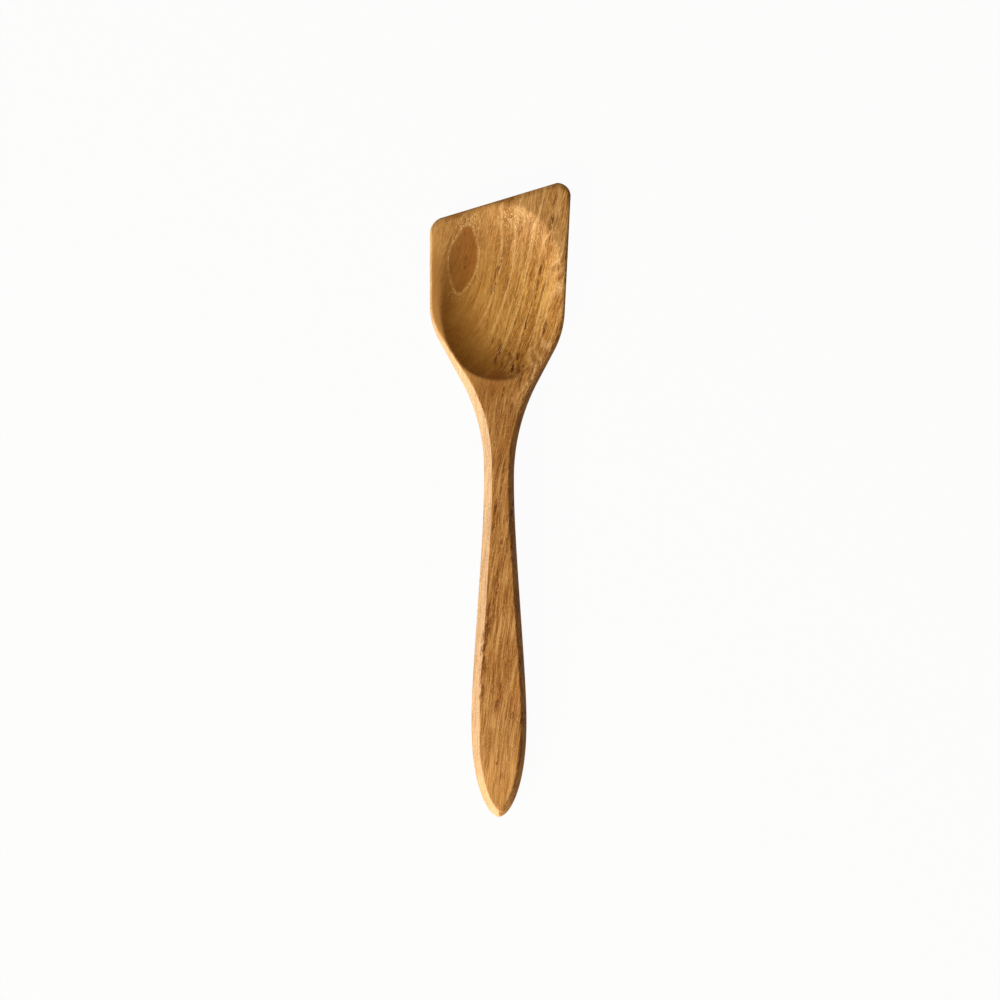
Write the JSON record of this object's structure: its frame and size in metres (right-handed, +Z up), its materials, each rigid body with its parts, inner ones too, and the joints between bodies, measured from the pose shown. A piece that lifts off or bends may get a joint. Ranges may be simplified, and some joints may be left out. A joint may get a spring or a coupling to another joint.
{
  "type": "wooden spatula",
  "caption": "Wooden cooking spatula carved in one piece, with a faceted handle, a thin neck, a slanted front edge and an oval scoop hollow in the blade.",
  "frame": {"origin": "centre of the bounding box's base: on the table under the middle of the spatula, which lies on its back with the scoop facing up", "axes": "+Y from the handle's tip to the blade's front edge, +Z up out of the scoop, +X to the right seen from above, which is the side where the slanted front edge reaches furthest"},
  "size_m": [0.0666, 0.3, 0.0192],
  "materials": {
    "teak": "oiled, hand planed, satin"
  },
  "bodies": {
    "root": {"spatula_body": "teak"}
  },
  "joints": []
}
